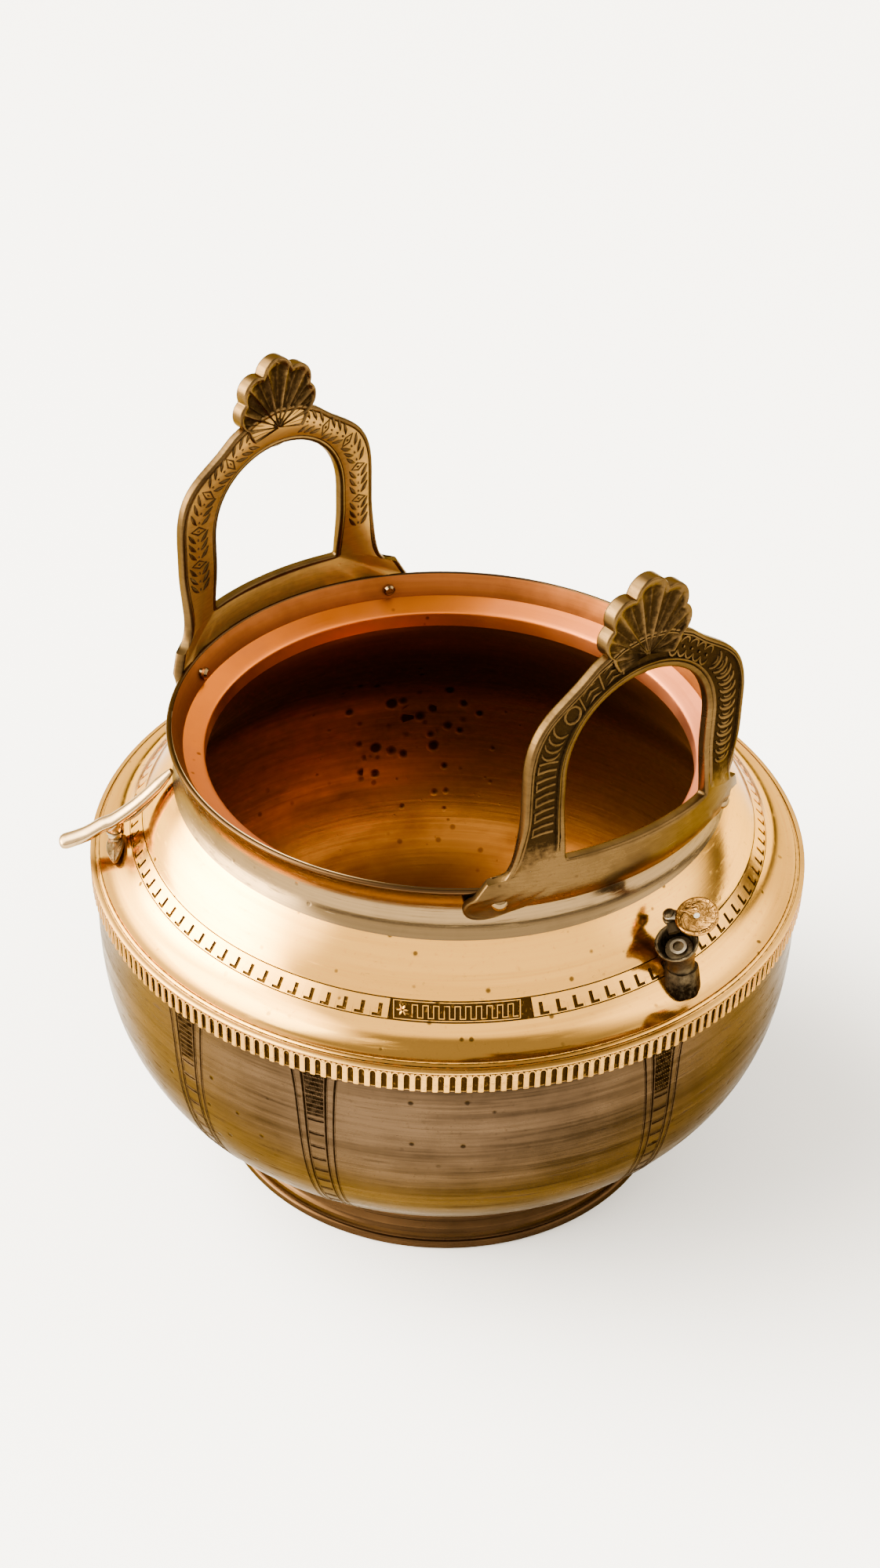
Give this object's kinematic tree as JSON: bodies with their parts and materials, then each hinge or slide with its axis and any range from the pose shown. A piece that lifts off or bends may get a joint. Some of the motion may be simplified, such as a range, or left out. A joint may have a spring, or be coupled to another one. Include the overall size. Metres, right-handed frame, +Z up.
{
  "type": "handled brass pot",
  "caption": "Round-bellied brass pot with a copper liner, arched plate handles, a stepped foot, a capped filler spout and a swivelling shoulder arm.",
  "frame": {"origin": "on the pot's axis, level with the underside of the foot ring", "axes": "+Z up along the pot's axis; the front handle lies towards +X -Y, the shoulder arm towards -X"},
  "size_m": [0.2738, 0.2626, 0.2838],
  "materials": {
    "satin_brass": "brushed and slightly dull",
    "polished_brass": "mirror polished with fine pits",
    "chased_brass": "chased relief, dark in the hollows",
    "foot_brass": "turned and polished",
    "aged_copper": "heat-tinted copper with dark spots",
    "pink_copper": "rubbed copper",
    "antique_brass": "antiqued, bright on the edges",
    "dark_bronze": "dark patina",
    "worn_nickel": "rubbed white metal",
    "pale_brass": "rubbed pale brass"
  },
  "bodies": {
    "pot": {"lower_bowl": "satin_brass", "shoulder_shell": "polished_brass", "gadroon_band": "chased_brass", "foot_ring": "foot_brass", "neck_collar": "polished_brass", "rim_bead": "polished_brass", "copper_liner": "aged_copper", "liner_lip": "pink_copper", "front_handle": "antique_brass", "rear_handle": "antique_brass", "front_rivets": "chased_brass", "rear_rivets": "chased_brass", "front_rivet_washers": "chased_brass", "rear_rivet_washers": "chased_brass", "spout_collar": "dark_bronze", "spout_tube": "dark_bronze", "spout_funnel": "dark_bronze", "spout_inner_tube": "worn_nickel", "cap_post": "dark_bronze", "arm_saddle": "satin_brass", "arm_post": "satin_brass", "arm_washer": "worn_nickel", "arm_pin": "pale_brass"},
    "cap": {"cap_arm": "worn_nickel", "cap_disc": "pale_brass", "cap_rivet": "pale_brass"},
    "arm": {"shoulder_arm": "pale_brass"}
  },
  "joints": [
    {"name": "cap_swing", "type": "hinge", "parent": "pot", "child": "cap", "pos_m": [0.07462, -0.08223, 0.15662], "axis": [-0.2594, -0.3429, 0.9029], "range_deg": [-63.5, 80]},
    {"name": "arm_swivel", "type": "hinge", "parent": "pot", "child": "arm", "pos_m": [-0.12012, -0.01688, 0.139], "axis": [0, 0, 1], "range_deg": [-70, 70]}
  ]
}
